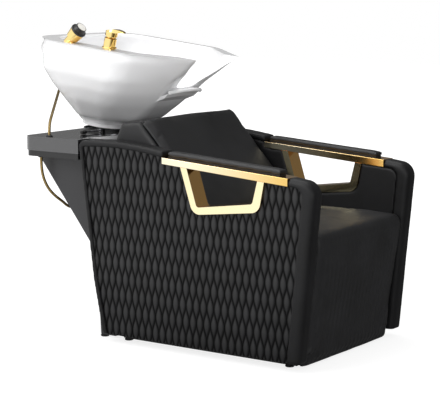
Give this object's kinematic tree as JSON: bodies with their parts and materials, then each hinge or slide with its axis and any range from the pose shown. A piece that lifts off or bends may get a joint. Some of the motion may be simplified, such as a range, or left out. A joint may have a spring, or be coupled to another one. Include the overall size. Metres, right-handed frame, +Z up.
{
  "type": "hair washing bed",
  "caption": "Salon hair washing seat with quilted side panels, padded seat and backrest, gold arm frames, and a tilting ceramic basin with mixer tap and hand shower.",
  "frame": {"origin": "on the floor under the middle of the whole chair", "axes": "+Z up, +Y from the sitter's feet towards the basin, +X across to the sitter's left"},
  "size_m": [0.683, 1.2635, 1.0821],
  "materials": {
    "quilted_cover": "satin grained",
    "smooth_cover": "satin grained",
    "cushion_cover": "satin grained",
    "plywood": "raw plywood, covered",
    "gold_metal": "polished, gold plated",
    "gold_fittings": "polished, gold plated",
    "deck_gloss": "high gloss",
    "black_plastic": "moulded",
    "housing_paint": "satin black",
    "tilt_metal": "satin black",
    "lock_steel": "satin",
    "steel_screws": "zinc plated",
    "ceramic_white": "glazed",
    "chrome_waste": "polished",
    "rubber_black": "moulded",
    "hose_bronze": "interlocked metal strip"
  },
  "bodies": {
    "chair": {"arm_board_left": "plywood", "arm_board_right": "plywood", "arm_frame_left": "gold_metal", "arm_frame_right": "gold_metal", "arm_pad_left": "cushion_cover", "arm_pad_right": "cushion_cover", "arm_rail_left": "gold_metal", "arm_rail_right": "gold_metal", "backrest_cushion": "cushion_cover", "backrest_frame": "cushion_cover", "base_bolts": "steel_screws", "cover_screws": "steel_screws", "deck_board": "plywood", "deck_entry_bush": "rubber_black", "deck_exit_bush": "rubber_black", "deck_shell": "deck_gloss", "deck_underplate": "black_plastic", "feet": "black_plastic", "front_border_left": "smooth_cover", "front_border_right": "smooth_cover", "hose_lower": "hose_bronze", "hose_upper": "hose_bronze", "housing_bush": "rubber_black", "housing_cover": "housing_paint", "housing_shell": "housing_paint", "rear_border_left": "smooth_cover", "rear_border_right": "smooth_cover", "seat_board": "plywood", "seat_cushion": "cushion_cover", "seat_frame": "plywood", "seat_front_board": "plywood", "side_board_left": "plywood", "side_board_right": "plywood", "side_lining_left": "smooth_cover", "side_lining_right": "smooth_cover", "side_quilt_left": "quilted_cover", "side_quilt_right": "quilted_cover", "tilt_base": "tilt_metal", "tilt_buffers": "rubber_black", "tilt_pin": "lock_steel"},
    "basin_unit": {"basin": "ceramic_white", "basin_hose_bush": "rubber_black", "waste_flange": "chrome_waste", "waste_tail": "chrome_waste", "waste_nut": "chrome_waste", "mixer_ring": "gold_fittings", "mixer_body": "gold_fittings", "mixer_nut": "gold_fittings", "handset_holder": "gold_fittings", "tilt_cradle": "tilt_metal"},
    "tap_stem": {"mixer_stem": "gold_fittings"},
    "tap_lever": {"mixer_lever": "gold_fittings"},
    "hand_shower": {"handset_body": "gold_fittings", "handset_grip": "black_plastic", "handset_nose": "gold_fittings", "handset_face": "black_plastic"},
    "lock": {"lock_rod": "lock_steel", "lock_knob": "black_plastic"}
  },
  "joints": [
    {"name": "basin_tilt", "type": "hinge", "parent": "chair", "child": "basin_unit", "pos_m": [0, 0.395, 0.707], "axis": [1, 0, 0], "range_deg": [-6.5, 4], "deforming": ["hose_upper"]},
    {"name": "lock_turn", "type": "hinge", "parent": "chair", "child": "lock", "pos_m": [-0.12, 0.425, 0.698], "axis": [1, 0, 0], "range_deg": [0, 180]},
    {"name": "mixer_turn", "type": "hinge", "parent": "basin_unit", "child": "tap_stem", "pos_m": [-0.24, 0.2676, 1.0035], "axis": [0, -0.2334, 0.9724], "range_deg": [-45, 45]},
    {"name": "mixer_lift", "type": "hinge", "parent": "tap_stem", "child": "tap_lever", "pos_m": [-0.24, 0.2581, 1.0432], "axis": [-1, 0, 0], "range_deg": [0, 20]},
    {"name": "handset_lift", "type": "slide", "parent": "basin_unit", "child": "hand_shower", "axis": [0, -0.749, 0.6626], "range_m": [0, 0.04]}
  ]
}
